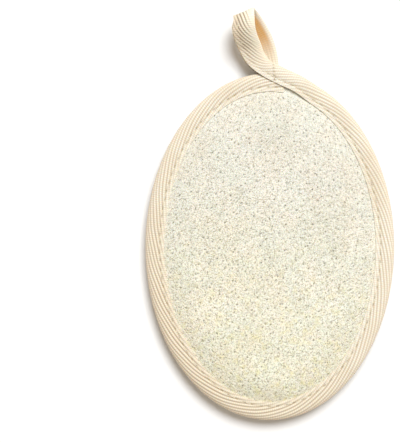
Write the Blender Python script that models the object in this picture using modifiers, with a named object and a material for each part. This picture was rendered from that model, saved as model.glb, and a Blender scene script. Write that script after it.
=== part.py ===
"""An oval bath pad: a sheet of natural loofah sewn over thin foam to a terry back.

A folded twill tape binds the edge and runs on at the top into a hanging loop, whose end is
sewn under the terry side. An elastic band for the hand crosses the terry side.

The pad lies loofah side up. Its origin is the pad's centre on the surface that it rests on,
+Y points to the hanging loop, +X to the right as seen from above, and +Z up. Units are metres.
"""

import math

import bmesh
import bpy
from mathutils import Vector, noise

# Driving dimensions
PAD_LENGTH = 0.180
PAD_WIDTH = 0.129
TAPE_FLAT_WIDTH = 0.0236
TAPE_THICKNESS = 0.0008
BAND_WIDTH = 0.032
BAND_THICKNESS = 0.0009
TERRY_THICKNESS = 0.0022
TERRY_SEWN_THICKNESS = 0.0011
LOOFAH_THICKNESS = 0.0078
LOOFAH_SEWN_THICKNESS = 0.0023
MIDDLE_HEIGHT = 0.0085  # the plane between the loofah and what lies under it, over the surface
THREAD_RADIUS = 0.0002
GAP = 0.0003  # between two pieces that touch

# The pad's outline and its rise from the sewn edge
HALF_LENGTH = PAD_LENGTH / 2
HALF_WIDTH = PAD_WIDTH / 2
LAYER_INSET = 0.0030  # where the sewn layers end inside the tape's fold
PLUMP_POWER = 2.2

# Heights of the layers at the sewn edge and in the middle
LOOFAH_UNDER = MIDDLE_HEIGHT + GAP / 2
LOOFAH_EDGE_TOP = LOOFAH_UNDER + LOOFAH_SEWN_THICKNESS
LOOFAH_RISE = LOOFAH_THICKNESS - LOOFAH_SEWN_THICKNESS
TERRY_EDGE_TOP = MIDDLE_HEIGHT - GAP / 2
TERRY_EDGE_UNDER = TERRY_EDGE_TOP - TERRY_SEWN_THICKNESS
TERRY_MIDDLE_UNDER = BAND_THICKNESS + GAP
TERRY_MIDDLE_TOP = TERRY_MIDDLE_UNDER + TERRY_THICKNESS
FOAM_EDGE_THICKNESS = 0.0005

# The tape's fold, open round the layers, wider where it wraps its own start, and shut in the loop
RING_GAPE = MIDDLE_HEIGHT - TERRY_EDGE_UNDER + GAP + BAND_THICKNESS + GAP
WRAP_GAPE = RING_GAPE + TAPE_THICKNESS + GAP
LOOP_GAPE = GAP / 2
BAND_INSET = RING_GAPE + TAPE_THICKNESS + GAP  # the band ends where the fold's sides are flat
FOLD_OFFSET = 0.0055  # from the tape's route to its fold
TAPE_START = math.radians(82)  # angles run anticlockwise from +X, seen from above
TAPE_LEAVES = math.radians(360 + 66)
RING_STEPS = 72
LOOP_STEPS = 3  # stations from one point of the loop's route to the next

# The loop's route in millimetres, from where the tape leaves the ring: a place in the folded
# tape, the way its free edges face in degrees, and half the gap in its fold
LOOP_ROUTE = [
    (14.2, 83.4, 8.5, -110, 1000 * WRAP_GAPE),
    (5.4, 87.5, 8.5, -116, 1000 * WRAP_GAPE),
    (-2.9, 92.0, 8.6, -128, 1000 * WRAP_GAPE),
    (-7.3, 97.2, 10.2, -142, 1.6),
    (-9.7, 102.3, 13.6, -149, 1000 * LOOP_GAPE),
    (-12.1, 107.5, 17.4, -152, 1000 * LOOP_GAPE),
    (-13.4, 112.4, 19.8, -155, 1000 * LOOP_GAPE),
    (-13.7, 117.2, 19.4, -157, 1000 * LOOP_GAPE),
    (-13.3, 120.3, 15.0, -157, 1000 * LOOP_GAPE),
    (-11.6, 119.1, 9.8, -155, 1000 * LOOP_GAPE),
    (-7.9, 114.8, 6.2, -151, 1000 * LOOP_GAPE),
    (-3.9, 107.8, 4.3, -155, 1000 * LOOP_GAPE),
    (-1.6, 100.6, 3.1, -165, 1000 * LOOP_GAPE),
    (-0.4, 92.6, 2.6, -175, 1000 * LOOP_GAPE),
    (0.4, 84.8, 2.6, -180, 1000 * LOOP_GAPE),
    (0.8, 79.0, 3.2, -180, 1000 * LOOP_GAPE),
    (0.8, 75.5, 3.6, -180, 1000 * LOOP_GAPE),
    (0.8, 72.0, 3.1, -180, 1000 * LOOP_GAPE),
]
FACE_SEAM_LAST_POINT = 7  # the face seam follows the loop to this point of the route
TACK_POINT = 15  # the loop's end is tacked here, under the tape's inner edge

# How wide the tape is as folded: its flat width less what the fold takes to go round
RING_WIDTH = RING_GAPE + TAPE_THICKNESS
RING_WIDTH += (TAPE_FLAT_WIDTH - math.pi * RING_WIDTH) / 2
BACK_PLUMP = (RING_WIDTH + 0.0008, 0.038)  # where the rise starts and ends, from the outline
LOOFAH_PLUMP = (RING_WIDTH + 0.0022, 0.030)

# The seams
SEAM_ACROSS = RING_WIDTH - 0.0020  # from the fold
FACE_SEAM_START = math.radians(90)
BACK_SEAM = (math.radians(98), math.radians(360 + 70))
SEAM_STEPS = 96
TACK_HALF_LENGTH = 0.0045

# The loofah's raised net of fibre, larger than life
NET_CELL = 0.0092
NET_HEIGHT = 0.0019
NET_RIB_SHARE = 0.36
NET_FADE = 0.0025
LOOFAH_GRID = (56, 80)

# Facets of the plain layers
SEGMENTS = 56
BACK_INSETS = (0.0103, 0.0128, 0.0165, 0.0205, 0.0255, 0.0315, 0.038)
BAND_RIBS = 11  # fewer than the real elastic has, each larger
RIB_PLACES = (0.0, 0.2, 0.8)  # the groove and the crest's two edges, across one rib
GROOVE_SHARE = 0.6  # the thickness left in a groove


def clear_scene():
    for obj in list(bpy.data.objects):
        bpy.data.objects.remove(obj, do_unlink=True)


def material(name, colour, roughness):
    made = bpy.data.materials.new(name)
    made.use_nodes = True
    shader = made.node_tree.nodes["Principled BSDF"]
    shader.inputs["Base Color"].default_value = (*colour, 1.0)
    shader.inputs["Roughness"].default_value = roughness
    shader.inputs["Metallic"].default_value = 0.0
    return made


def add_object(name, data, finish):
    obj = bpy.data.objects.new(name, data)
    data.materials.append(finish)
    pad.objects.link(obj)
    return obj


def mesh_object(name, bm, finish):
    """The bmesh as an object, smooth but for its edges, with its faces turned outwards."""
    bmesh.ops.recalc_face_normals(bm, faces=bm.faces)
    mesh = bpy.data.meshes.new(name)
    bm.to_mesh(mesh)
    bm.free()
    mesh.shade_smooth()
    mesh.set_sharp_from_angle(angle=math.radians(50))
    return add_object(name, mesh, finish)


# The outline and the layers' heights


def inward(angle):
    """The way from the outline towards the pad's inside, square to the outline."""
    return -Vector((math.cos(angle) / HALF_WIDTH, math.sin(angle) / HALF_LENGTH, 0)).normalized()


def outline(angle, inset, height=0.0):
    """A point that lies inset inside the oval outline."""
    edge = Vector((HALF_WIDTH * math.cos(angle), HALF_LENGTH * math.sin(angle), height))
    return edge + inset * inward(angle)


def rim_distance(x, y):
    """How far inside the outline a point lies. Newton steps turn a point of the outline to it."""
    if math.hypot(x / HALF_WIDTH, y / HALF_LENGTH) < 0.3:
        return HALF_WIDTH
    angle = math.atan2(y * HALF_WIDTH, x * HALF_LENGTH)
    for _ in range(8):
        px, py = HALF_WIDTH * math.cos(angle), HALF_LENGTH * math.sin(angle)
        tx, ty = -HALF_WIDTH * math.sin(angle), HALF_LENGTH * math.cos(angle)
        slope = (px - x) * tx + (py - y) * ty
        bend = tx * tx + ty * ty - (px - x) * px - (py - y) * py
        angle -= slope / max(bend, HALF_WIDTH**2 / 10)
    return math.hypot(HALF_WIDTH * math.cos(angle) - x, HALF_LENGTH * math.sin(angle) - y)


def plump(distance, start, end):
    """0 at the sewn edge and 1 past end: steep at the seam, then flat, as a stuffed pad rises."""
    share = min(max((distance - start) / (end - start), 0.0), 1.0)
    return 1 - (1 - share) ** PLUMP_POWER


def back_height(distance, edge, middle):
    return edge + (middle - edge) * plump(distance, *BACK_PLUMP)


def terry_top(distance):
    return back_height(distance, TERRY_EDGE_TOP, TERRY_MIDDLE_TOP)


def terry_under(distance):
    return back_height(distance, TERRY_EDGE_UNDER, TERRY_MIDDLE_UNDER)


def loofah_net(x, y):
    """The height of the raised net: ribs along the borders between random cells."""
    nearest = noise.voronoi(Vector((x, y, 0)) / NET_CELL)[0]
    return NET_HEIGHT * max(0.0, 1 - (nearest[1] - nearest[0]) / NET_RIB_SHARE)


def loofah_top(x, y):
    distance = rim_distance(x, y)
    fade = min(max((distance - LOOFAH_PLUMP[0]) / NET_FADE, 0.0), 1.0)
    rise = LOOFAH_RISE * plump(distance, *LOOFAH_PLUMP)
    return LOOFAH_EDGE_TOP + rise + fade * loofah_net(x, y)


# The layers


def build_loofah():
    """A square grid wrapped to the oval gives the top, and its border is drawn down to a flat back."""
    bm = bmesh.new()
    across, along = LOOFAH_GRID
    bmesh.ops.create_grid(bm, x_segments=across, y_segments=along, size=1.0)
    for vert in bm.verts:
        u, v = vert.co.x, vert.co.y
        x = (HALF_WIDTH - LAYER_INSET) * u * math.sqrt(1 - v * v / 2)
        y = (HALF_LENGTH - LAYER_INSET) * v * math.sqrt(1 - u * u / 2)
        vert.co = (x, y, loofah_top(x, y))
    border = [edge for edge in bm.edges if edge.is_boundary]
    drawn = bmesh.ops.extrude_edge_only(bm, edges=border)["geom"]
    for vert in [part for part in drawn if isinstance(part, bmesh.types.BMVert)]:
        vert.co.z = LOOFAH_UNDER
    bmesh.ops.holes_fill(bm, edges=[edge for edge in bm.edges if edge.is_boundary], sides=0)
    return mesh_object("loofah_sheet", bm, loofah_finish)


def build_layer(name, insets, top, under, finish):
    """A layer from a sphere: its upper circles become the top's rings and its lower ones the back's."""
    bm = bmesh.new()
    rings = len(insets)
    circles = 2 * rings + 1
    bmesh.ops.create_uvsphere(bm, u_segments=SEGMENTS, v_segments=circles, radius=1.0)
    for vert in bm.verts:
        step = round(math.acos(min(max(vert.co.z, -1.0), 1.0)) / math.pi * circles)
        height = top if step <= rings else under
        ring = min(step, circles - step)
        if ring == 0:
            vert.co = (0, 0, height(HALF_WIDTH))
            continue
        inset = insets[rings - ring]
        vert.co = outline(math.atan2(vert.co.y, vert.co.x), inset, height(inset))
    return mesh_object(name, bm, finish)


def build_foam():
    """The foam fills the room between the flat back of the loofah and the terry, short of the seam."""

    def under(distance):
        return terry_top(distance) + GAP

    def top(_distance):
        return TERRY_EDGE_TOP

    edge = BACK_PLUMP[0]
    while top(edge) - under(edge) < FOAM_EDGE_THICKNESS:
        edge += GAP / 3
    insets = [edge] + [inset for inset in BACK_INSETS if inset > edge + GAP]
    return build_layer("foam_padding", insets, top, under, foam_finish)


def build_band():
    """A strip under the terry, drawn as its upper side, and as thick as its ribs and grooves are."""
    bm = bmesh.new()
    insets = (BAND_INSET, *BACK_INSETS)
    columns = 2 * len(insets)
    rows = 3 * BAND_RIBS + 1
    bmesh.ops.create_grid(bm, x_segments=columns - 1, y_segments=rows - 1, size=1.0)
    rib_width = BAND_WIDTH / BAND_RIBS
    grooves = []
    for vert in bm.verts:
        column = round((vert.co.x + 1) / 2 * (columns - 1))
        row = round((vert.co.y + 1) / 2 * (rows - 1))
        rib, place = divmod(row, 3)
        y = rib_width * (rib + RIB_PLACES[place]) - BAND_WIDTH / 2
        inset = insets[min(column, columns - 1 - column)]
        side = -1 if column < columns / 2 else 1
        x = side * (HALF_WIDTH * math.sqrt(1 - (y / HALF_LENGTH) ** 2) - inset)
        vert.co = (x, y, terry_under(rim_distance(x, y)) - GAP)
        if place == 0:
            grooves.append(vert.index)
    obj = mesh_object("elastic_hand_band", bm, band_finish)
    if obj.data.polygons[0].normal.z < 0:
        obj.data.flip_normals()
    ribs = obj.vertex_groups.new(name="ribs")
    ribs.add(range(len(obj.data.vertices)), 1.0, "REPLACE")
    ribs.add(grooves, 0.0, "REPLACE")
    solidify = obj.modifiers.new("thickness", "SOLIDIFY")
    solidify.thickness = BAND_THICKNESS
    solidify.offset = -1
    solidify.vertex_group = ribs.name
    solidify.thickness_vertex_group = GROOVE_SHARE
    return obj


# The tape


def smooth_through(points, steps):
    """Points on a smooth curve through the given ones, which may hold any numbers."""
    found = []
    for i in range(1, len(points) - 2):
        before, start, end, after = points[i - 1 : i + 3]
        for step in range(steps):
            t = step / steps
            found.append(
                tuple(
                    0.5
                    * (
                        2 * b
                        + (c - a) * t
                        + (2 * a - 5 * b + 4 * c - d) * t * t
                        + (3 * b - a - 3 * c + d) * t**3
                    )
                    for a, b, c, d in zip(before, start, end, after)
                )
            )
    return found + [points[-2]]


def tape_route():
    """(middle, facing of the free edges, half gap) at each station, and the loop's first station."""
    ring = []
    for step in range(RING_STEPS + 1):
        angle = TAPE_START + (TAPE_LEAVES - TAPE_START) * step / RING_STEPS
        middle = outline(angle, FOLD_OFFSET, MIDDLE_HEIGHT)
        ring.append((middle, inward(angle), RING_GAPE))
    joined = [
        (*(1000 * middle), math.degrees(math.atan2(facing.y, facing.x)), 1000 * gape)
        for middle, facing, gape in ring[-2:]
    ]
    last, before_last = LOOP_ROUTE[-1], LOOP_ROUTE[-2]
    beyond = tuple(2 * a - b for a, b in zip(last, before_last))
    loop = []
    for x, y, z, turn, gape in smooth_through([*joined, *LOOP_ROUTE, beyond], LOOP_STEPS)[1:]:
        facing = Vector((math.cos(math.radians(turn)), math.sin(math.radians(turn)), 0))
        held_open = min(max(gape / 1000, LOOP_GAPE), WRAP_GAPE)
        loop.append((Vector((x, y, z)) / 1000, facing, held_open))
    return ring + loop, len(ring)


def tape_frames():
    """(middle, across, up, half gap) at each station, with across and up square to the route."""
    stations, _ = tape_route()
    frames = []
    for i, (middle, facing, gape) in enumerate(stations):
        before = stations[max(i - 1, 0)][0]
        after = stations[min(i + 1, len(stations) - 1)][0]
        ahead = (after - before).normalized()
        across = (facing - facing.dot(ahead) * ahead).normalized()
        frames.append((middle, across, ahead.cross(across), gape))
    return frames


def hairpin(gape):
    """The folded tape's section as (across, up) points, with its fold on the left."""
    outer = gape + TAPE_THICKNESS
    turn = outer - FOLD_OFFSET
    edge = turn + (TAPE_FLAT_WIDTH - math.pi * outer) / 2
    outer_turn = [math.radians(90 + 45 * i) for i in range(5)]
    inner_turn = [math.radians(270 - 30 * i) for i in range(7)]
    section = [(edge, outer)]
    section += [(turn + outer * math.cos(a), outer * math.sin(a)) for a in outer_turn]
    section += [(edge, -outer), (edge, -gape)]
    section += [(turn + gape * math.cos(a), gape * math.sin(a)) for a in inner_turn]
    section += [(edge, gape)]
    return section


def build_tape():
    """Hairpin sections joined one to the next along the route, with both ends filled."""
    bm = bmesh.new()
    rings = []
    for middle, across, up, gape in tape_frames():
        rings.append([bm.verts.new(middle + across * a + up * n) for a, n in hairpin(gape)])
    for ring, following in zip(rings, rings[1:]):
        for i in range(len(ring)):
            j = (i + 1) % len(ring)
            bm.faces.new((ring[i], ring[j], following[j], following[i]))
    bm.faces.new(rings[0])
    bm.faces.new(rings[-1])
    return mesh_object("binding_tape", bm, tape_finish)


# The sewing thread


def build_thread(name, points):
    curve = bpy.data.curves.new(name, "CURVE")
    curve.dimensions = "3D"
    curve.bevel_depth = THREAD_RADIUS
    curve.bevel_resolution = 0
    curve.use_fill_caps = True
    spline = curve.splines.new("POLY")
    spline.points.add(len(points) - 1)
    for point, place in zip(spline.points, points):
        point.co = (*place, 1.0)
    return add_object(name, curve, thread_finish)


def build_face_seam():
    """The seam over the loofah follows the tape's upper side, and on along the loop's free edge."""
    _, ring_count = tape_route()
    last = ring_count + (FACE_SEAM_LAST_POINT + 1) * LOOP_STEPS
    first = round(
        (FACE_SEAM_START - TAPE_START) / (TAPE_LEAVES - TAPE_START) * RING_STEPS
    )
    points = []
    for middle, across, up, gape in tape_frames()[first:last]:
        sideways = SEAM_ACROSS - FOLD_OFFSET
        lift = gape + TAPE_THICKNESS + GAP + THREAD_RADIUS
        points.append(middle + sideways * across + lift * up)
    return build_thread("seam_thread_face", points)


def build_back_seam():
    """The seam under the terry side runs round the ring, short of the loop's end."""
    start, end = BACK_SEAM
    height = MIDDLE_HEIGHT - RING_GAPE - TAPE_THICKNESS - GAP - THREAD_RADIUS
    points = [
        outline(start + (end - start) * step / SEAM_STEPS, SEAM_ACROSS, height)
        for step in range(SEAM_STEPS + 1)
    ]
    return build_thread("seam_thread_back", points)


def build_tack():
    """A short row of thread across the loop's end."""
    x, y, z, _, _ = LOOP_ROUTE[TACK_POINT]
    height = z / 1000 - LOOP_GAPE - TAPE_THICKNESS - GAP - 2 * THREAD_RADIUS
    ends = [
        Vector((x / 1000 + side * TACK_HALF_LENGTH, y / 1000, height)) for side in (-1, 0, 1)
    ]
    return build_thread("loop_tack_thread", ends)


clear_scene()
pad = bpy.data.collections.new("oval_loofah_bath_pad")
bpy.context.scene.collection.children.link(pad)
loofah_finish = material("loofah", (0.83, 0.79, 0.64), 0.85)
foam_finish = material("foam", (0.90, 0.88, 0.80), 0.90)
terry_finish = material("terry", (0.90, 0.86, 0.70), 0.95)
band_finish = material("elastic", (0.82, 0.77, 0.58), 0.80)
tape_finish = material("twill_tape", (0.86, 0.78, 0.60), 0.85)
thread_finish = material("thread", (0.88, 0.81, 0.66), 0.60)

build_loofah()
build_foam()
build_layer("terry_back", (LAYER_INSET, *BACK_INSETS), terry_top, terry_under, terry_finish)
build_band()
build_tape()
build_face_seam()
build_back_seam()
build_tack()
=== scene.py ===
# %% [markdown]
# # An oval bath pad with a loofah face
#
# The real pad is a sheet of natural loofah sewn over thin foam to a terry back. A twill tape
# is folded over the edge and runs on at the top into the hanging loop, and a wide ribbed
# elastic on the terry side holds the hand. The construction is loaded first and never moved.
# Each step after it takes one piece and gives it the surface of the real one.

# %% Load the construction
import math

import bpy
import numpy as np
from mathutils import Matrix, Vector, kdtree, noise


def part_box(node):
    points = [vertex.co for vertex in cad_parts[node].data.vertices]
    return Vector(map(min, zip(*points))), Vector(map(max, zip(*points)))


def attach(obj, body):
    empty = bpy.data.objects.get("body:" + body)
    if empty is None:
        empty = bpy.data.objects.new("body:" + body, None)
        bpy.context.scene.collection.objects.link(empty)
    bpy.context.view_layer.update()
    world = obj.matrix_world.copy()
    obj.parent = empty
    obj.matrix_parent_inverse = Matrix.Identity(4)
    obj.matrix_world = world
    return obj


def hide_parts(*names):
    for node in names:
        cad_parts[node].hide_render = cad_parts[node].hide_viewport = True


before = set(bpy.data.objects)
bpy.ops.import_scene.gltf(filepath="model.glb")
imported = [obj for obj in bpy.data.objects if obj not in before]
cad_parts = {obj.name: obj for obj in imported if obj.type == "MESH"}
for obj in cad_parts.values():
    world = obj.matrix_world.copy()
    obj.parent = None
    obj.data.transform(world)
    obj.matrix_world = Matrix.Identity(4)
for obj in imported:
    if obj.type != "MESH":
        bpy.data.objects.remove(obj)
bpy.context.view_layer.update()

print("nodes:", ", ".join(sorted(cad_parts)))

# %% [markdown]
# ## Sizes
#
# The pad lies loofah side up, its middle over the origin. These are the sizes that it was
# built with, in metres. The loop's route is the one list that no formula gives: a tape's curl,
# given point by point.

# %% The pad's sizes
HALF_LENGTH = 0.090
HALF_WIDTH = 0.0645
MIDDLE_HEIGHT = 0.0085
GAP = 0.0003
TAPE_FLAT_WIDTH = 0.0236
TAPE_THICKNESS = 0.0008
FOLD_OFFSET = 0.0055  # from the tape's route to its fold
LAYER_INSET = 0.0030
LOOFAH_UNDER = MIDDLE_HEIGHT + GAP / 2
LOOFAH_EDGE_TOP = LOOFAH_UNDER + 0.0023
LOOFAH_RISE = 0.0055
TERRY_EDGE_UNDER = MIDDLE_HEIGHT - GAP / 2 - 0.0011
BAND_WIDTH = 0.032
BAND_THICKNESS = 0.0009
TERRY_MIDDLE_UNDER = BAND_THICKNESS + GAP
RING_GAPE = MIDDLE_HEIGHT - TERRY_EDGE_UNDER + GAP + BAND_THICKNESS + GAP
WRAP_GAPE = RING_GAPE + TAPE_THICKNESS + GAP
LOOP_GAPE = GAP / 2
RING_WIDTH = RING_GAPE + TAPE_THICKNESS
RING_WIDTH += (TAPE_FLAT_WIDTH - math.pi * RING_WIDTH) / 2  # the tape's width round the pad
BACK_PLUMP = (RING_WIDTH + 0.0008, 0.038)
LOOFAH_PLUMP = (RING_WIDTH - 0.0004, 0.030)
PLUMP_POWER = 2.2
TAPE_START = math.radians(82)
TAPE_LEAVES = math.radians(426)
WRAPPED, SHUT = 1000 * WRAP_GAPE, 1000 * LOOP_GAPE
LOOP_ROUTE = [  # millimetres: x, y, z, facing of the free edges in degrees, half the fold's gap
    (14.2, 83.4, 8.5, -110, WRAPPED),
    (5.4, 87.5, 8.5, -116, WRAPPED),
    (-2.9, 92.0, 8.6, -128, WRAPPED),
    (-7.3, 97.2, 10.2, -142, 1.6),
    (-9.7, 102.3, 13.6, -149, SHUT),
    (-12.1, 107.5, 17.4, -152, SHUT),
    (-13.4, 112.4, 19.8, -155, SHUT),
    (-13.7, 117.2, 19.4, -157, SHUT),
    (-13.3, 120.3, 15.0, -157, SHUT),
    (-11.6, 119.1, 9.8, -155, SHUT),
    (-7.9, 114.8, 6.2, -151, SHUT),
    (-3.9, 107.8, 4.3, -155, SHUT),
    (-1.6, 100.6, 3.1, -165, SHUT),
    (-0.4, 92.6, 2.6, -175, SHUT),
    (0.4, 84.8, 2.6, -180, SHUT),
    (0.8, 79.0, 3.2, -180, SHUT),
    (0.8, 75.5, 3.6, -180, SHUT),
    (0.8, 72.0, 3.1, -180, SHUT),
]
_, tape_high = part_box("binding_tape")
print("the oval against the built tape, mm:", round(1000 * (tape_high.x - HALF_WIDTH), 2))

# %% [markdown]
# ## The camera
#
# The photograph looks straight down on the pad, which lies right of its middle. So the camera
# hangs over the photograph's own centre, worked out from the pad's measured place in it. A
# long lens from far away keeps the view as flat as the photograph's.

# %% Hang the camera
PHOTO_SIZE = (400, 443)
PAD_CENTRE_IN_PHOTO = (269.8, 246.6)
PAD_LENGTH_IN_PHOTO = 346.9
METRES_PER_PIXEL = 2 * HALF_LENGTH / PAD_LENGTH_IN_PHOTO
LENS = 120.0
SENSOR = 36.0


def hang_camera():
    x = (PHOTO_SIZE[0] / 2 - PAD_CENTRE_IN_PHOTO[0]) * METRES_PER_PIXEL
    y = (PAD_CENTRE_IN_PHOTO[1] - PHOTO_SIZE[1] / 2) * METRES_PER_PIXEL
    height = MIDDLE_HEIGHT + PHOTO_SIZE[1] * METRES_PER_PIXEL * LENS / SENSOR
    bpy.ops.object.camera_add(location=(x, y, height), rotation=(0, 0, 0))
    camera = bpy.context.object
    camera.data.lens = LENS
    camera.data.sensor_width = SENSOR
    bpy.context.scene.camera = camera
    print("camera at", [round(v, 3) for v in camera.location])


hang_camera()

# %% [markdown]
# ## Light and floor
#
# The photograph is a bright product picture: a white ground, a broad soft light from the top
# and a little to the right, and a short soft shadow at the bottom. A warm world fills every
# hollow, and one wide, slightly cool sun lamp gives the direction. Together they are white
# where both reach, and warm in the shade. The floor is plain and pale.

# %% Set the light and lay the floor
KEY_FROM = (0.16, 0.46, 0.88)
KEY_SPREAD = math.radians(28)  # how wide the lamp looks from the pad
KEY_COLOUR = (0.93, 0.965, 1.0)
KEY_STRENGTH = 3.24
SKY_COLOUR = (1.0, 0.88, 0.74)
SKY_STRENGTH = 0.46
FLOOR_COLOUR = (0.85, 0.85, 0.85)
FLOOR_SIZE = 8.0


def set_light():
    world = bpy.data.worlds.new("soft_studio")
    world.use_nodes = True
    sky = world.node_tree.nodes["Background"]
    sky.inputs["Color"].default_value = (*SKY_COLOUR, 1)
    sky.inputs["Strength"].default_value = SKY_STRENGTH
    bpy.context.scene.world = world
    bpy.ops.object.light_add(type="SUN", location=KEY_FROM)
    key = bpy.context.object
    key.data.color = KEY_COLOUR
    key.data.angle = KEY_SPREAD
    key.data.energy = KEY_STRENGTH
    key.rotation_euler = (-Vector(KEY_FROM)).to_track_quat("-Z", "Y").to_euler()
    bpy.context.scene.view_settings.view_transform = "Standard"


def lay_floor():
    bpy.ops.object.select_all(action="DESELECT")
    bpy.ops.mesh.primitive_plane_add(size=FLOOR_SIZE, location=(0, 0, 0))
    floor = bpy.context.object
    floor.name = "floor"
    pale = bpy.data.materials.new("pale_floor")
    pale.use_nodes = True
    shader = pale.node_tree.nodes["Principled BSDF"]
    shader.inputs["Base Color"].default_value = (*FLOOR_COLOUR, 1)
    shader.inputs["Roughness"].default_value = 0.9
    floor.data.materials.append(pale)


set_light()
lay_floor()

# %% [markdown]
# ## Small helpers
#
# Every piece starts as a primitive. These helpers select nothing before one is added, read
# and move its points, apply a modifier, and hand the finished piece over.

# %% Helpers for pieces
ROUND_EDGES, CLOTH_EDGES = 80, 60  # degrees, from which an edge stays sharp
TINY = 1e-9  # keeps a division safe


def start_clean():
    """Nothing is selected, so the next operator acts on the new primitive alone."""
    bpy.ops.object.select_all(action="DESELECT")


def select_alone(obj):
    start_clean()
    obj.select_set(True)
    bpy.context.view_layer.objects.active = obj


def points_of(obj):
    flat = np.empty(len(obj.data.vertices) * 3)
    obj.data.vertices.foreach_get("co", flat)
    return flat.reshape(-1, 3)


def move_points(obj, points):
    obj.data.vertices.foreach_set("co", np.asarray(points, float).ravel())
    obj.data.update()


def unit_grid(name, columns, rows):
    """A grid primitive with corners at -1 and 1, still flat."""
    start_clean()
    bpy.ops.mesh.primitive_grid_add(x_subdivisions=columns, y_subdivisions=rows, size=2)
    obj = bpy.context.object
    obj.name = obj.data.name = name
    return obj


def apply_modifier(obj, kind, **settings):
    modifier = obj.modifiers.new(kind.lower(), kind)
    for setting, value in settings.items():
        setattr(modifier, setting, value)
    select_alone(obj)
    bpy.ops.object.modifier_apply(modifier=modifier.name)


def shade(obj, degrees):
    """Smooth, except at edges sharper than so many degrees."""
    select_alone(obj)
    bpy.ops.object.shade_smooth_by_angle(angle=math.radians(degrees))


def face_down(obj):
    """Turns a cloth's outer side down, so that its thickness is added above."""
    if obj.data.polygons[0].normal.z > 0:
        obj.data.flip_normals()


def store(obj, name, values):
    """A number for each point, which the finish reads by name."""
    made = obj.data.attributes.new(name, "FLOAT", "POINT")
    made.data.foreach_set("value", np.asarray(values, float))


def hand_over(obj, finish, slot, *nodes):
    obj.data.materials.clear()
    obj.data.materials.append(finish)
    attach(obj, "root")
    if nodes:
        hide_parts(*nodes)
    obj.data.calc_loop_triangles()
    print(f"{obj.name}: {len(obj.data.loop_triangles)} triangles")


# %% [markdown]
# A finish is a Principled shader with a few nodes before it. One helper makes a node with its
# sockets filled or linked, and the rest are short uses of it: a mix of two colours, cloudy
# noise, a slow drift over the pad, or a number that the mesh carries.

# %% Helpers for finishes
def new_finish(name, roughness, glow=0.0):
    """(finish, place on the piece). The glow is light that wanders under a pale surface."""
    made = bpy.data.materials.new(name)
    made.use_nodes = True
    settings = {
        "Roughness": roughness,
        "Specular IOR Level": 0.2,
        "Subsurface Weight": glow,
        "Subsurface Radius": (1.0, 0.6, 0.3),  # red light wanders furthest
        "Subsurface Scale": 0.0012,
    }
    for socket, value in settings.items():
        made.node_tree.nodes["Principled BSDF"].inputs[socket].default_value = value
    return made, add_node(made, "TexCoord").outputs["Object"]


def add_node(made, kind, sockets=None, **settings):
    new = made.node_tree.nodes.new("ShaderNode" + kind)
    for setting, value in settings.items():
        setattr(new, setting, value)
    for key, value in (sockets or {}).items():
        if isinstance(value, bpy.types.NodeSocket):
            made.node_tree.links.new(value, new.inputs[key])
        else:
            new.inputs[key].default_value = value
    return new


def mix(made, share, first, second, blend="MIX"):
    sockets = {0: share, 6: first, 7: second}
    for index in (6, 7):
        if isinstance(sockets[index], tuple):
            sockets[index] = (*sockets[index], 1)
    return add_node(made, "Mix", sockets, data_type="RGBA", blend_type=blend).outputs[2]


def stretch(made, value, low, high, most=1.0):
    """The value, with low turned to 0 and high to most."""
    sockets = {"Value": value, "From Min": low, "From Max": high, "To Max": most}
    return add_node(made, "MapRange", sockets).outputs["Result"]


def clouds(made, vector, scale, low=0.35, high=0.65, detail=3.0):
    """Cloudy noise, stretched from 0 to 1."""
    sockets = {"Vector": vector, "Scale": scale, "Detail": detail}
    return stretch(made, add_node(made, "TexNoise", sockets).outputs["Fac"], low, high)


def multiply(made, first, second):
    return add_node(made, "Math", {0: first, 1: second}, operation="MULTIPLY").outputs[0]


def drift(made, place, way, start, end, most):
    """A slow change over the pad, from 0 at start to most at end, along a way in x and y."""
    along = add_node(made, "VectorMath", {0: place, 1: (*way, 0.0)}, operation="DOT_PRODUCT")
    return stretch(made, along.outputs["Value"], start, end, most)


def attribute(made, name):
    return add_node(made, "Attribute", attribute_name=name).outputs["Fac"]


def colour_and_bump(made, colour, height, strength, distance):
    shader = made.node_tree.nodes["Principled BSDF"]
    made.node_tree.links.new(colour, shader.inputs["Base Color"])
    sockets = {"Height": height, "Strength": strength, "Distance": distance}
    bump = add_node(made, "Bump", sockets)
    made.node_tree.links.new(bump.outputs["Normal"], shader.inputs["Normal"])


# %% [markdown]
# ## The oval and its swell
#
# The pad's outline is an ellipse, and its layers swell from the sewn edge to the middle. The
# distance from the outline is found by a few Newton steps, which slide a point along the
# ellipse until it is the nearest one, for whole arrays of points at once.

# %% The oval and its swell
NEWTON_STEPS = 8
NEAR_MIDDLE = 0.3  # of the way out, up to which no nearest point is looked for


def rim_distance(x, y):
    """How far inside the outline each point lies, or half the width near the middle."""
    angle = np.arctan2(y * HALF_WIDTH, x * HALF_LENGTH)
    for _ in range(NEWTON_STEPS):
        px, py = HALF_WIDTH * np.cos(angle), HALF_LENGTH * np.sin(angle)
        tx, ty = -HALF_WIDTH * np.sin(angle), HALF_LENGTH * np.cos(angle)
        slope = (px - x) * tx + (py - y) * ty
        bend = tx * tx + ty * ty - (px - x) * px - (py - y) * py
        angle = angle - slope / np.maximum(bend, HALF_WIDTH**2 / 10)
    distance = np.hypot(HALF_WIDTH * np.cos(angle) - x, HALF_LENGTH * np.sin(angle) - y)
    near_middle = np.hypot(x / HALF_WIDTH, y / HALF_LENGTH) < NEAR_MIDDLE
    return np.where(near_middle, HALF_WIDTH, distance)


def swell(distance, start, end):
    """0 at the sewn edge and 1 past end: steep at the seam, then flat."""
    share = np.clip((distance - start) / (end - start), 0.0, 1.0)
    return 1 - (1 - share) ** PLUMP_POWER


def loofah_height(distance):
    return LOOFAH_EDGE_TOP + LOOFAH_RISE * swell(distance, *LOOFAH_PLUMP)


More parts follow.
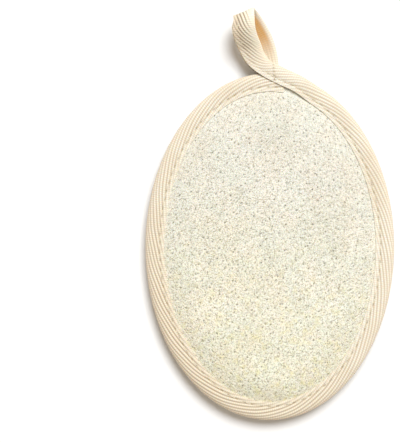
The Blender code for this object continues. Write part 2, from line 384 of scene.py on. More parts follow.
def terry_height(distance):
    return TERRY_EDGE_UNDER + (TERRY_MIDDLE_UNDER - TERRY_EDGE_UNDER) * swell(distance, *BACK_PLUMP)


def wrap_to_oval(obj, inset):
    """Maps a square grid to the oval, evenly, and returns the points' x and y."""
    u, v, _ = points_of(obj).T
    x = (HALF_WIDTH - inset) * u * np.sqrt(1 - v * v / 2)
    y = (HALF_LENGTH - inset) * v * np.sqrt(1 - u * u / 2)
    return x, y


print("swell at the middle, mm:", round(1000 * loofah_height(0.05), 2))

# %% [markdown]
# ## The loofah's bed
#
# A loofah is the dried skeleton of a gourd: a felt of fibres with small pits between them.
# From a step away it is pale and grainy, with hundreds of dark pinpricks. The bed is one fine
# grid, wrapped to the oval and raised by noise of three sizes: broad dents, lumps and grain.
# Pits are single points of the grid, pushed in. One is drawn by lot in each square block of
# cells, so that they don't crowd, with a few deep ones among many faint ones.

# %% Shape the loofah's bed
BED_CELLS = (256, 366)
DENT_SIZE, DENT_HEIGHT = 0.016, 0.0006
LUMP_SIZE, LUMP_HEIGHT = 0.0010, 0.00012
LUMP_LAYERS = (1.0, 2.1, 2)  # how they weaken, how much finer each is, and how many
GRAIN_SIZE, GRAIN_HEIGHT = 0.00075, 0.00025
DEEP_PIT_BLOCK, FAINT_PIT_BLOCK = 10, 4  # one pit in each square of so many cells
PIT_DEPTH = 0.0011
PIT_RIM = 0.22  # how open the points next to a pit are
FAINT_PITS, DEEP_PITS = (0.02, 0.3), (0.75, 1.0)
# painted shade: the felt's low places get a darker tone
FELT_SHADE = 0.3  # how much of the felt's height shows in its tone
RELIEF_FROM, RELIEF_OVER = RING_WIDTH - 0.0004, 0.0012


def bed_relief(x, y):
    """(broad dents, felt) of the sheet at one place, in metres."""
    place = Vector((x, y, 0))
    dent = DENT_HEIGHT * noise.noise(place / DENT_SIZE)
    lump = LUMP_HEIGHT * noise.fractal(place / LUMP_SIZE, *LUMP_LAYERS)
    return dent, lump + GRAIN_HEIGHT * noise.noise(place / GRAIN_SIZE)


def scatter(draw, block):
    """One cell drawn by lot in each square block of cells."""
    chosen = np.zeros((BED_CELLS[1] + 1, BED_CELLS[0] + 1), bool)
    for row in range(0, BED_CELLS[1] - block, block):
        for column in range(0, BED_CELLS[0] - block, block):
            chosen[row + draw.integers(block), column + draw.integers(block)] = True
    return chosen


def draw_pits(column, row):
    """How open each point of the grid is, from 0 to 1, and whether it is a deep pit."""
    draw = np.random.default_rng(3)
    deep, faint = scatter(draw, DEEP_PIT_BLOCK), scatter(draw, FAINT_PIT_BLOCK)
    pits = np.where(faint, draw.uniform(*FAINT_PITS, faint.shape), 0.0)
    pits = np.where(deep, draw.uniform(*DEEP_PITS, deep.shape), pits)
    rims = [PIT_RIM * np.roll(pits, step, axis) for step in (-1, 1) for axis in (0, 1)]
    return np.maximum.reduce([pits, *rims])[row, column], deep[row, column]


def build_bed():
    bed = unit_grid("loofah_face", *BED_CELLS)
    u, v, _ = points_of(bed).T
    column = np.round((u + 1) / 2 * BED_CELLS[0]).astype(int)
    row = np.round((v + 1) / 2 * BED_CELLS[1]).astype(int)
    x, y = wrap_to_oval(bed, LAYER_INSET)
    distance = rim_distance(x, y)
    fade = np.clip((distance - RELIEF_FROM) / RELIEF_OVER, 0, 1)
    dent, felt = np.array([bed_relief(*place) for place in zip(x, y)]).T
    open_here, deep = draw_pits(column, row)
    relief = dent + felt - PIT_DEPTH * open_here
    move_points(bed, np.column_stack((x, y, loofah_height(distance) + fade * relief)))
    store(bed, "pit", fade * open_here)
    # painted shade: the bed's tone is darker where the felt lies low
    store(bed, "tone_and_felt_shade", np.clip(FELT_SHADE * felt / LUMP_HEIGHT, -1, 1))
    deep_pits = np.column_stack((x, y))[deep & (distance > RING_WIDTH)]
    print("deep pits:", len(deep_pits))
    return bed, deep_pits


def close_under(obj, height):
    """Draws the open border down to a flat underside."""
    select_alone(obj)
    bpy.ops.object.mode_set(mode="EDIT")
    bpy.ops.mesh.select_all(action="DESELECT")
    bpy.ops.mesh.select_mode(type="EDGE")
    bpy.ops.mesh.select_non_manifold()
    bpy.ops.mesh.extrude_edges_move()
    bpy.ops.transform.resize(value=(1, 1, 0), center_override=(0, 0, height))
    bpy.ops.mesh.edge_face_add()
    bpy.ops.mesh.select_all(action="SELECT")
    bpy.ops.mesh.normals_make_consistent(inside=False)
    bpy.ops.object.mode_set(mode="OBJECT")


loofah_bed, deep_pits = build_bed()
close_under(loofah_bed, LOOFAH_UNDER)
shade(loofah_bed, ROUND_EDGES)

# %% [markdown]
# ## The loofah's finish
#
# Dried loofah is straw-coloured, and paler where it is bleached. Each fibre carries its own
# tone as an attribute, so the mix follows the fibres; on the bed the same attribute is painted
# shade, darker where the felt lies low. Over that lie slower changes: here the low end is
# greener with yellow spots, the top end is evened towards one tone as painted light that washes
# out its grain, and faint patches lean to cool or to rosy. A fine speckle is painted shade
# between fibres too small to model, and pits are brown, with painted shade in them.

# %% The loofah's finish
PALE_FIBRE = (0.905, 0.89, 0.81)
STRAW_FIBRE = (0.78, 0.745, 0.615)
GREEN_FIBRE = (0.94, 0.915, 0.71)
YELLOW_FIBRE = (0.84, 0.77, 0.36)
# the pits' own brown, deepened with painted shade
PIT_BROWN_AND_SHADE = (0.11, 0.085, 0.04)
SHADE_BETWEEN = (0.51, 0.455, 0.33)
# painted light: the top end's grain is evened out towards this tone
TOP_PAINTED_LIGHT_TONE = (0.80, 0.775, 0.69)
COOL_TINT = (0.975, 0.99, 0.99)
ROSY_TINT = (1.0, 0.982, 0.965)
LOW_END = ((0, 1), 0.03, -0.09, 0.55)  # a drift's way, start, end and most
TOP_END = ((0.3, 1), -0.01, 0.07, 0.5)
SLOW_CLOUDS, TINT_CLOUDS, SPOT_CLOUDS = 38.0, 85.0, 330.0  # scales of noise, per metre
SPECKLE_CLOUDS, GRAIN_CLOUDS = 1750.0, 1900.0


def loofah_finish():
    made, place = new_finish("natural_loofah", roughness=0.8, glow=0.12)
    tone_and_felt_shade = stretch(made, attribute(made, "tone_and_felt_shade"), -1.0, 1.0)
    fibre = mix(made, tone_and_felt_shade, STRAW_FIBRE, PALE_FIBRE)
    slow = clouds(made, place, SLOW_CLOUDS)
    toned = mix(made, slow, fibre, PALE_FIBRE)
    low_end = drift(made, place, *LOW_END)
    greened = mix(made, low_end, toned, GREEN_FIBRE)
    spots = clouds(made, place, SPOT_CLOUDS, low=0.50, high=0.68)
    greened = mix(made, multiply(made, spots, low_end), greened, YELLOW_FIBRE)
    speckle = clouds(made, place, SPECKLE_CLOUDS, low=0.50, high=0.73, detail=0.6)
    grained = mix(made, speckle, greened, SHADE_BETWEEN)
    # painted light: the grain at the top end is evened out, as if washed out by the lamp
    top_lit = mix(made, drift(made, place, *TOP_END), grained, TOP_PAINTED_LIGHT_TONE)
    patches = clouds(made, place, TINT_CLOUDS, low=0.38, high=0.62, detail=2.0)
    tint = mix(made, patches, COOL_TINT, ROSY_TINT)
    tinted = mix(made, 1.0, top_lit, tint, blend="MULTIPLY")
    # pits: their own brown, with painted shade in them
    colour = mix(made, attribute(made, "pit"), tinted, PIT_BROWN_AND_SHADE)
    grain = clouds(made, place, GRAIN_CLOUDS)
    colour_and_bump(made, colour, grain, strength=0.65, distance=0.00025)
    return made


loofah = loofah_finish()
hand_over(loofah_bed, loofah, "loofah", "loofah_sheet")

# %% [markdown]
# ## One strand, copied along many paths
#
# Fibres and stitches are thin round strands that follow a path. One strand is modelled as a
# cylinder, cut across by bisect. Its rings are then carried to the points of each path, all
# strands at once, and joined in one mesh.

# %% The strand
def strand_pattern(sides, rings):
    """(points, faces) of one upright strand of radius 1 and length 1, cut into rings."""
    start_clean()
    bpy.ops.mesh.primitive_cylinder_add(vertices=sides, radius=1, depth=1)
    obj = bpy.context.object
    bpy.ops.object.mode_set(mode="EDIT")
    for ring in range(1, rings - 1):
        bpy.ops.mesh.select_all(action="SELECT")
        bpy.ops.mesh.bisect(plane_co=(0, 0, ring / (rings - 1) - 0.5), plane_no=(0, 0, 1))
    bpy.ops.object.mode_set(mode="OBJECT")
    points = points_of(obj)
    faces = [tuple(face.vertices) for face in obj.data.polygons]
    bpy.data.objects.remove(obj)
    return points, faces


def copy_strands(name, paths, radii, sides):
    """paths holds (strand, ring) points and radii a radius for each of them."""
    count, rings, _ = paths.shape
    pattern, faces = strand_pattern(sides, rings)
    ring_of = np.round((pattern[:, 2] + 0.5) * (rings - 1)).astype(int)
    ahead = np.gradient(paths, axis=1)
    ahead /= np.linalg.norm(ahead, axis=2, keepdims=True)
    side = np.cross(ahead, (0, 0, 1))
    side /= np.maximum(np.linalg.norm(side, axis=2, keepdims=True), TINY)
    over = np.cross(side, ahead)
    reach = radii[:, ring_of, None]
    points = paths[:, ring_of] - reach * (pattern[:, 0, None] * side[:, ring_of])
    points += reach * (pattern[:, 1, None] * over[:, ring_of])
    per_strand = len(pattern)
    copied = [tuple(i + k * per_strand for i in face) for k in range(count) for face in faces]
    mesh = bpy.data.meshes.new(name)
    mesh.from_pydata(points.reshape(-1, 3).tolist(), [], copied)
    obj = bpy.data.objects.new(name, mesh)
    bpy.context.scene.collection.objects.link(obj)
    shade(obj, ROUND_EDGES)
    return obj, per_strand


# %% [markdown]
# ## The loofah's fibres
#
# On the felt lie thousands of short fibres that dip in and out of it, with a slight run along
# the gourd. Each walks a few steps from a random start, turning a little at each, and its
# height follows the bed with a wave of its own. Those that would reach the tape or bridge a
# deep pit are left out. They are kept in two pieces, fine fibres and thicker bundles.

# %% Lay the fibres
FIBRE_RINGS = 5
FIBRE_SIDES = 3
WAVE_STEP = 2.4  # how far the wave of a fibre turns from ring to ring
FIBRE_TAPER = np.array([0.45, 0.9, 1.0, 0.9, 0.4])
HEADING_SPREAD, TURN_SPREAD = 1.1, 0.45  # radians off the gourd's length, and from step to step
LENGTHS, RADII, TONES = (0.6, 1.4), (0.7, 1.3), (-0.6, 1)  # what the lots lie between
LIE_LOWER = 0.00008
LIE_FLAT_OVER = 0.0015  # from the tape, where the fibres are pressed flat
PIT_CLEARANCE, TAPE_CLEARANCE = 0.00055, 0.0002


def clear_of_pits(x, y):
    tree = kdtree.KDTree(len(deep_pits))
    for index, (a, b) in enumerate(deep_pits):
        tree.insert((a, b, 0), index)
    tree.balance()
    found = [tree.find((a, b, 0))[2] for a, b in zip(x.ravel(), y.ravel())]
    return np.array(found).reshape(x.shape) > PIT_CLEARANCE


def fibre_paths(count, length, wave, seed):
    draw = np.random.default_rng(seed)
    tries = 4 * count
    start_x = draw.uniform(-HALF_WIDTH, HALF_WIDTH, tries)
    start_y = draw.uniform(-HALF_LENGTH, HALF_LENGTH, tries)
    heading = draw.normal(math.pi / 2, HEADING_SPREAD, tries)[:, None]
    turns = np.cumsum(draw.normal(0, TURN_SPREAD, (tries, FIBRE_RINGS - 1)), axis=1)
    step = draw.uniform(*LENGTHS, (tries, 1)) * length / (FIBRE_RINGS - 1)
    zero = np.zeros((tries, 1))
    x = start_x[:, None] + np.hstack((zero, np.cumsum(step * np.cos(heading + turns), axis=1)))
    y = start_y[:, None] + np.hstack((zero, np.cumsum(step * np.sin(heading + turns), axis=1)))
    distance = rim_distance(x, y)
    outside = np.hypot(x / HALF_WIDTH, y / HALF_LENGTH) > 1
    clear = clear_of_pits(x, y) & (distance > RING_WIDTH + TAPE_CLEARANCE) & ~outside
    kept = clear.all(axis=1).nonzero()[0][:count]
    x, y, distance = x[kept], y[kept], distance[kept]
    phase = draw.uniform(0, 2 * math.pi, (len(kept), 1)) + WAVE_STEP * np.arange(FIBRE_RINGS)
    near_rim = np.clip((distance - RING_WIDTH) / LIE_FLAT_OVER, 0.2, 1.0)
    dents = [[bed_relief(a, b)[0] for a, b in zip(*row)] for row in zip(x, y)]
    z = loofah_height(distance) + near_rim * (np.array(dents) + wave * np.sin(phase)) - LIE_LOWER
    return np.stack((x, y, z), axis=2), draw


def lay_fibres(name, count, length, radius, wave, seed):
    paths, draw = fibre_paths(count, length, wave, seed)
    radii = radius * draw.uniform(*RADII, (len(paths), 1)) * FIBRE_TAPER
    fibres, per_strand = copy_strands(name, paths, radii, FIBRE_SIDES)
    store(fibres, "tone_and_felt_shade", np.repeat(draw.uniform(*TONES, len(paths)), per_strand))
    hand_over(fibres, loofah, "loofah")


FIBRE_COUNT = 7000
lay_fibres("loofah_fine_fibres", FIBRE_COUNT, length=0.0032, radius=0.00014, wave=0.00019, seed=5)
lay_fibres("loofah_fibre_bundles", FIBRE_COUNT, length=0.0044, radius=0.00018, wave=0.00016, seed=8)

# %% [markdown]
# ## The twill tape's path
#
# The tape is one length from its start under the lap to its end on the terry side. At each
# station its path has a place, a way across towards the free edges, a way up, and the width of
# the fold. Round the pad these follow the oval, and in the loop a smooth curve through the
# route's points.

# %% The tape's path
RING_STEPS = 600
CAD_RING_STEPS = 72
LOOP_STEPS = 9


def oval_station(angle):
    inward = -Vector((math.cos(angle) / HALF_WIDTH, math.sin(angle) / HALF_LENGTH, 0)).normalized()
    edge = Vector((HALF_WIDTH * math.cos(angle), HALF_LENGTH * math.sin(angle), MIDDLE_HEIGHT))
    return edge + inward * FOLD_OFFSET, inward, RING_GAPE


def smooth_through(points, steps):
    """Points on a smooth curve through the given ones."""
    points = np.array(points, float)
    found = []
    for i in range(1, len(points) - 2):
        a, b, c, d = points[i - 1 : i + 3]
        for step in range(steps):
            t = step / steps
            turn = (c - a) * t + (2 * a - 5 * b + 4 * c - d) * t * t
            found.append(0.5 * (2 * b + turn + (3 * b - a - 3 * c + d) * t**3))
    return found + [points[-2]]


def tape_stations():
    sweep = TAPE_LEAVES - TAPE_START
    ring = [oval_station(TAPE_START + sweep * step / RING_STEPS) for step in range(RING_STEPS + 1)]
    joined = []
    for back in (1, 0):
        place, facing, gape = oval_station(TAPE_LEAVES - back * sweep / CAD_RING_STEPS)
        turn = math.degrees(math.atan2(facing.y, facing.x))
        joined.append((*(1000 * place), turn, 1000 * gape))
    beyond = tuple(2 * a - b for a, b in zip(LOOP_ROUTE[-1], LOOP_ROUTE[-2]))
    loop = []
    for x, y, z, turn, gape in smooth_through([*joined, *LOOP_ROUTE, beyond], LOOP_STEPS)[1:]:
        facing = Vector((math.cos(math.radians(turn)), math.sin(math.radians(turn)), 0))
        held = min(max(gape / 1000, LOOP_GAPE), WRAP_GAPE)
        loop.append((Vector((x, y, z)) / 1000, facing, held))
    return ring + loop


def unit(vectors):
    return vectors / np.linalg.norm(vectors, axis=1, keepdims=True)


def tape_frames():
    """Arrays of middles, ways across, ways up, half gaps, and distances along the tape."""
    middle, facing, gape = (np.array(values) for values in zip(*tape_stations()))
    ahead = unit(np.gradient(middle, axis=0))
    across = unit(facing - (facing * ahead).sum(axis=1, keepdims=True) * ahead)
    steps = np.linalg.norm(np.diff(middle, axis=0), axis=1)
    along = np.concatenate(([0.0], np.cumsum(steps)))
    return middle, across, np.cross(ahead, across), gape, along


tape_middle, tape_across, tape_up, tape_gape, tape_along = tape_frames()
TAPE_LENGTH = float(tape_along[-1])
RING_LENGTH = float(tape_along[RING_STEPS])
LOOP_TOP = float(tape_along[np.argmax(tape_middle[:, 1])])
print("tape, mm:", round(1000 * TAPE_LENGTH), "of which round the pad:", round(1000 * RING_LENGTH))

# %% [markdown]
# A place on the tape is given by its distance along it, its share of the way across from the
# upper free edge to the lower one, and how far it stands off the outer side. The two sides
# are flat, and the fold between them is a half circle that takes its length from both. In the
# loop the cloth is free to curl, so its edges hang a little lower than its fold.

# %% Places on the tape
CURL = 0.0036
CURL_FROM, CURL_FULL = RING_LENGTH + 0.026, RING_LENGTH + 0.046
CURL_LEAST, CURL_END = LOOP_TOP - 0.012, LOOP_TOP - 0.001


def ramp(values, start, end):
    """A smooth rise from 0 at start to 1 at end."""
    share = np.clip((values - start) / (end - start), 0.0, 1.0)
    return share * share * (3 - 2 * share)


def bell(away, half):
    """1 where nothing is away, falling softly to 0 past half."""
    return np.exp(-((away / half) ** 2))


def on_tape(distance, share, lift):
    def follow(values):
        return np.column_stack([np.interp(distance, tape_along, column) for column in values.T])

    outer = np.interp(distance, tape_along, tape_gape) + TAPE_THICKNESS
    turn = outer - FOLD_OFFSET
    side = (TAPE_FLAT_WIDTH - math.pi * outer) / 2
    reach = share * TAPE_FLAT_WIDTH
    angle = np.clip((reach - side) / outer, 0, math.pi)
    past = np.maximum(reach - side - math.pi * outer, 0)
    a = turn + side - np.minimum(reach, side) + past - (outer + lift) * np.sin(angle)
    n = (outer + lift) * np.cos(angle)
    curled = ramp(distance, CURL_FROM, CURL_FULL) - ramp(distance, CURL_LEAST, CURL_END)
    n -= CURL * curled * ((a + FOLD_OFFSET) / (side + outer)) ** 2
    across, up = unit(follow(tape_across)), unit(follow(tape_up))
    return follow(tape_middle) + a[:, None] * across + n[:, None] * up


# %% [markdown]
# ## The twill tape
#
# The tape is modelled as it is made. It starts flat, as a long fine grid, with the slanting
# ribs of its twill as relief. Then each point is carried to its place on the fold, so the
# ribs run round the edge and up into the loop without a break. They are flatter on the fold,
# past the seam and on the terry side. The seam draws the cloth into a valley, deepest at the
# stitch holes, and Solidify gives it its thickness. What the finish has to know of a place,
# such as the inside of the loop, is stored with each point.

# %% Weave and fold the tape
ACROSS_CELLS = 60
RIB_PITCH = 0.0017
RIB_WANDER = 0.10  # of a pitch
WANDER_LENGTHS = (0.0031, 0.0047, 0.0013)
RIB_TURNS = [  # the ribs' slant at distances past the ring, as the tape was pulled askew
    (0.000, 0.21),
    (0.014, 0.47),
    (0.030, 0.55),
    (0.036, 0.38),
    (0.052, 0.60),
    (0.064, 0.22),
    (0.075, 0.08),
]
RIB_HEIGHT = 0.00030
EDGE_RIBS = 0.4  # how much of the ribs is left beyond the seam
BACK_RIBS = 0.55  # and on the terry side, which is ironed flatter
FOLD_AT, FOLD_HALF = 0.5, 0.14  # where the fold flattens the ribs, as shares of the width
LOOP_FOLD_AT, LOOP_FOLD_HALF = 0.42, 0.10
MIDDLE_OF_RIBS = 0.6  # the cloth's own level, from groove to crest
GROOVE_POWER = 2.2
WOVEN_THICKNESS = 0.85 * TAPE_THICKNESS  # the ribs take up the rest
SEAM_LEFT_IN_LOOP = 0.2
STITCH_PITCH = 0.0046
STITCH_COVER = 0.52  # the share of the pitch where thread lies on top
SEAM_CELLS = 6
SEAM_FROM_EDGE = SEAM_CELLS * TAPE_FLAT_WIDTH / ACROSS_CELLS
UPPER_SEAM = SEAM_FROM_EDGE / TAPE_FLAT_WIDTH
VALLEY_DEPTH, VALLEY_HALF = 0.00032, 0.0007
HOLE_DEPTH, HOLE_SIZE = 0.00022, 0.0008
EDGE_DROP, EDGE_WAVE, EDGE_REACH = 0.00016, 0.00016, 0.0014
SLIT_HALF = 0.00028
PAST_TOP, TOWARDS_PAD = (LOOP_TOP - 0.006, LOOP_TOP + 0.002), (LOOP_TOP + 0.016, LOOP_TOP + 0.034)
UP_FRONT, OVER_TOP = (LOOP_TOP - 0.034, LOOP_TOP - 0.020), (LOOP_TOP - 0.003, LOOP_TOP + 0.003)
EDGE_SHADE_FROM = (LOOP_TOP - 0.030, LOOP_TOP - 0.014)
FACE_TACK_X = 0.0015
FACE_TACK_HOLES = 5
FACE_TACK_PITCH = 0.0018
FACE_TACK_SLANT = 0.58  # it goes straight down the pad, where the tape runs askew
FACE_TACK_HOLE = 0.00042


def rib_crest(station, across):
    """0 in the grooves of the twill and 1 on its ribs."""
    slant = np.interp(tape_along - RING_LENGTH, *zip(*RIB_TURNS))
    askew = np.concatenate(([0.0], np.cumsum(np.diff(tape_along) * slant[1:])))
    distance = tape_along[station]
    short, long, over = WANDER_LENGTHS
    wander = np.sin(distance / short) + np.sin(distance / long + across / over)
    turns = (across + askew[station]) / RIB_PITCH + RIB_WANDER * wander / 2
    return 0.5 - 0.5 * np.cos(2 * math.pi * turns)


def seam_pull(distance, from_edge):
    """How far the seam draws the tape in at a distance along it and from its free edge."""
    along = (distance / STITCH_PITCH + 0.5) % 1.0 - 0.5
    to_hole = np.hypot(along * STITCH_PITCH, from_edge - SEAM_FROM_EDGE)
    valley = VALLEY_DEPTH * bell(from_edge - SEAM_FROM_EDGE, VALLEY_HALF)
    hole = HOLE_DEPTH * bell(to_hole, HOLE_SIZE)
    edge = EDGE_WAVE * np.cos(2 * math.pi * along) + EDGE_DROP
    return -valley - hole - edge * bell(from_edge, EDGE_REACH)


def bare_seam(distance, from_edge):
    """How much of the seam's valley shows: most between two stitches, and unevenly."""
    along = np.abs((distance / STITCH_PITCH) % 1.0 - 0.5)
    between_stitches = np.clip((along - STITCH_COVER / 2) / 0.08, 0, 1)
    uneven = 0.7 + 0.3 * np.sin(2.4 * np.floor(distance / STITCH_PITCH))
    slit = bell(from_edge - SEAM_FROM_EDGE, SLIT_HALF)
    return uneven * (0.25 + 0.75 * between_stitches) * slit


def face_tack_place(hole):
    """(distance, across) of a hole of the short tack over the lap."""
    lap = slice(RING_STEPS, RING_STEPS + 6 * LOOP_STEPS)
    start = np.interp(-FACE_TACK_X, -tape_middle[lap, 0], tape_along[lap])
    across = FACE_TACK_PITCH * (hole + 0.6)
    return start + FACE_TACK_SLANT * (across - RING_WIDTH / 2), across


def tack_holes(distance, across):
    open_here = np.zeros(len(distance))
    for hole in range(FACE_TACK_HOLES):
        along, over = face_tack_place(hole)
        open_here += bell(np.hypot(distance - along, across - over), FACE_TACK_HOLE)
    return open_here


def inside_loop(distance, share):
    """1 on the face that looks into the loop, past its top, less towards the fold and the pad."""
    nearer_pad = 1 - 0.9 * ramp(distance, *TOWARDS_PAD)
    return ramp(distance, *PAST_TOP) * nearer_pad * ramp(share, 0.55, 0.66)


def loop_front(distance):
    """1 on the loop's front up to its top, where its crests get painted light and its grooves
    painted shade.
    """
    return ramp(distance, *UP_FRONT) * (1 - ramp(distance, *OVER_TOP))


def edge_shade_mask(distance, share):
    """1 along the loop's outer free edge, where painted shade darkens it."""
    return ramp(distance, *EDGE_SHADE_FROM) * (1 - ramp(share, 0.08, 0.26))


def build_tape():
    tape = unit_grid("twill_tape", len(tape_along) - 1, ACROSS_CELLS)
    u, v, _ = points_of(tape).T
    station = np.round((u + 1) / 2 * (len(tape_along) - 1)).astype(int)
    distance = tape_along[station]
    share = (1 - v) / 2
    across = share * TAPE_FLAT_WIDTH
    rib = rib_crest(station, across)
    in_loop = ramp(distance, RING_LENGTH + 0.020, RING_LENGTH + 0.040)
    inside = inside_loop(distance, share)
    to_seam = np.minimum(1, np.minimum(share, 1 - share) / UPPER_SEAM) ** 2
    smooth_fold = 1 - 0.9 * in_loop * bell(share - LOOP_FOLD_AT, LOOP_FOLD_HALF)
    smooth_fold = smooth_fold * (1 - 0.8 * bell(share - FOLD_AT, FOLD_HALF))
    weave = (EDGE_RIBS + (1 - EDGE_RIBS) * to_seam) * smooth_fold * (1 - 0.8 * inside)
    weave = weave * (1 - (1 - BACK_RIBS) * (1 - in_loop) * ramp(share, 0.5, 0.6))
    sewn = 1 - (1 - SEAM_LEFT_IN_LOOP) * in_loop
    from_edges = (across, TAPE_FLAT_WIDTH - across)
    pull = sum(seam_pull(distance, from_edge) for from_edge in from_edges)
    relief = weave * RIB_HEIGHT * (rib - MIDDLE_OF_RIBS) + sewn * pull
    move_points(tape, on_tape(distance, share, relief))
    bare = sum(bare_seam(distance, from_edge) for from_edge in from_edges)
    # painted shade in the grooves of the twill
    store(tape, "groove_shade", weave * (1 - rib) ** GROOVE_POWER)
    store(tape, "bare", np.clip(sewn * bare + tack_holes(distance, across), 0, 1))
    store(tape, "along", 1000 * distance)
    store(tape, "across", 1000 * across)
    # painted warm shade on the face that looks into the loop
    store(tape, "warm", inside)
    # painted warm glow of bounced light along the fold
    store(tape, "fold_painted_light", bell(share - 0.5 + 0.08 * in_loop, 0.13) * (1 - inside))
    # painted shade along the loop's outer free edge
    store(tape, "edge_shade", edge_shade_mask(distance, share))
    # painted light on the loop front's crests and painted shade in its grooves
    store(tape, "front_light_and_shade", loop_front(distance))
    return tape


twill_tape = build_tape()
apply_modifier(twill_tape, "SOLIDIFY", thickness=WOVEN_THICKNESS, offset=-1)
shade(twill_tape, CLOTH_EDGES)

# %% [markdown]
# The tape's cotton is cream with a touch of peach. Thin cloth passes a little light. The inside
# of the loop carries painted warm shade, and the fold a painted warm glow of bounced light, both
# warmer than the flat sides. The grooves of the twill carry painted shade, darker than its
# crests. At the lower left, where the pad turns from the lamp, the cream and the grooves carry
# deeper painted shade. The loop's front has its ribs pulled wide, with painted light on its
# crests, painted brown shade in its grooves and painted shade along its outer edge. The yarns
# are too small to model, and are a bump that follows the cloth by its own distances, which
# each point carries.

# %% The tape's finish
TAPE_CREAM = (0.80, 0.745, 0.62)
TAPE_LIGHT = (0.86, 0.835, 0.735)
# painted shade at the lower left, where the pad turns from the lamp
TAPE_LOWER_LEFT_SHADE = (0.83, 0.745, 0.59)
# painted light on the crests of the loop's front
TAPE_FRONT_PAINTED_LIGHT = (0.98, 0.91, 0.75)
# painted warm glow of bounced light on the fold
TAPE_FOLD_PAINTED_LIGHT = (0.90, 0.77, 0.60)
# painted shade in the twill's grooves
TAPE_GROOVE_SHADE = (0.55, 0.44, 0.31)
# painted warm shade inside the loop
TAPE_WARM_SHADE = (0.58, 0.31, 0.09)
# painted shade along the loop's outer edge
TAPE_EDGE_SHADE = (0.64, 0.48, 0.34)
# painted shade in the grooves of the loop's front
FRONT_GROOVE_SHADE = (0.17, 0.10, 0.04)
SEAM_SHADE = (0.32, 0.25, 0.14)
YARN_WAVES = 0.29  # yarns about 1.1 mm apart
TAPE_CLOUDS = 55.0
LOWER_LEFT = ((-0.7, -0.7), 0.0, 0.08, 1.0)


def tape_finish():
    made, place = new_finish("cream_twill", roughness=0.85, glow=0.15)
    cream = mix(made, clouds(made, place, TAPE_CLOUDS), TAPE_CREAM, TAPE_LIGHT)
    # painted shade: the cream and the grooves darken towards the lower left
    lower_left = drift(made, place, *LOWER_LEFT)
    cream = mix(made, lower_left, cream, TAPE_LOWER_LEFT_SHADE)
    sides = {"X": attribute(made, "along"), "Y": attribute(made, "across")}
    cloth = add_node(made, "CombineXYZ", sides).outputs["Vector"]
    wave = {"Vector": cloth, "Scale": YARN_WAVES, "Distortion": 1.6, "Detail": 1.0}
    yarns = add_node(made, "TexWave", wave).outputs["Fac"]
    fold_lit = mix(made, attribute(made, "fold_painted_light"), cream, TAPE_FOLD_PAINTED_LIGHT)
    inside_shaded = mix(made, attribute(made, "warm"), fold_lit, TAPE_WARM_SHADE)
    front_light_and_shade = attribute(made, "front_light_and_shade")
    lit = mix(made, front_light_and_shade, inside_shaded, TAPE_FRONT_PAINTED_LIGHT)
    edge_shaded = mix(made, 0.4, lit, TAPE_EDGE_SHADE)
    edge_shade = mix(made, attribute(made, "edge_shade"), lit, edge_shaded)
    deepened = mix(made, multiply(made, lower_left, 0.7), TAPE_GROOVE_SHADE, FRONT_GROOVE_SHADE)
    shade_between = mix(made, front_light_and_shade, deepened, FRONT_GROOVE_SHADE)
    ribbed = mix(made, attribute(made, "groove_shade"), edge_shade, shade_between)
    dotted = mix(made, yarns, mix(made, 0.3, ribbed, TAPE_GROOVE_SHADE), ribbed)
    colour = mix(made, attribute(made, "bare"), dotted, SEAM_SHADE)
    colour_and_bump(made, colour, yarns, strength=0.5, distance=0.0002)
    return made


cream_twill = tape_finish()
hand_over(twill_tape, cream_twill, "twill_tape", "binding_tape")

# %% [markdown]
# ## The stitches
#
# A sewn seam is a row of short stitches, each of which rises from one hole and sinks into the
# next. So each stitch is one strand, sunk at both ends. The face seam runs on along the loop,
# with a short tack across the lap where the loop leaves the pad. The back seam runs round the
# terry side, and another tack holds the loop's end.

# %% Sew the seams
STITCH_RINGS = 7
STITCH_SIDES = 6
THREAD_RADIUS = 0.00019
THREAD_LIFT = 0.9 * THREAD_RADIUS
THREAD_DEEP, THREAD_LIGHT = (0.70, 0.60, 0.42), (0.86, 0.79, 0.63)
STITCH_SINK = 0.00040
ALONG_STITCH = np.linspace(0, 1, STITCH_RINGS)
SUNK_ENDS = STITCH_SINK * np.abs(2 * ALONG_STITCH - 1) ** 3
FACE_SEAM = (0.028, RING_LENGTH + 0.062)
BACK_SEAM = (0.020, RING_LENGTH - 0.008)


def stitch_paths(first, last, share):
    """One path for each stitch between two holes of the seam."""
    holes = np.arange(math.ceil(first / STITCH_PITCH), math.floor(last / STITCH_PITCH))
    distance = (holes[:, None] + 0.5 + STITCH_COVER * (ALONG_STITCH - 0.5)) * STITCH_PITCH
    lift = THREAD_LIFT - VALLEY_DEPTH - SUNK_ENDS
    return np.array([on_tape(row, share, lift) for row in distance])


def face_tack_paths():
    lift = THREAD_LIFT - SUNK_ENDS
    paths = []
    for hole in range(FACE_TACK_HOLES - 1):
        distance, across = face_tack_place(hole + 0.5 + STITCH_COVER * (ALONG_STITCH - 0.5))
        paths.append(on_tape(distance, across / TAPE_FLAT_WIDTH, lift))
    return np.array(paths)


def sew(name, paths, node):
    radii = np.full(paths.shape[:2], THREAD_RADIUS)
    stitches, _ = copy_strands(name, paths, radii, STITCH_SIDES)
    hand_over(stitches, thread, "thread", node)


def thread_finish():
    made, place = new_finish("cream_thread", roughness=0.6, glow=0.1)
    twist = clouds(made, place, 2600.0)
    colour = mix(made, twist, THREAD_DEEP, THREAD_LIGHT)
    colour_and_bump(made, colour, twist, strength=0.4, distance=0.0001)
    return made


thread = thread_finish()
on_face = np.concatenate((stitch_paths(*FACE_SEAM, UPPER_SEAM), face_tack_paths()))
sew("face_stitches", on_face, "seam_thread_face")
sew("back_stitches", stitch_paths(*BACK_SEAM, 1 - UPPER_SEAM), "seam_thread_back")

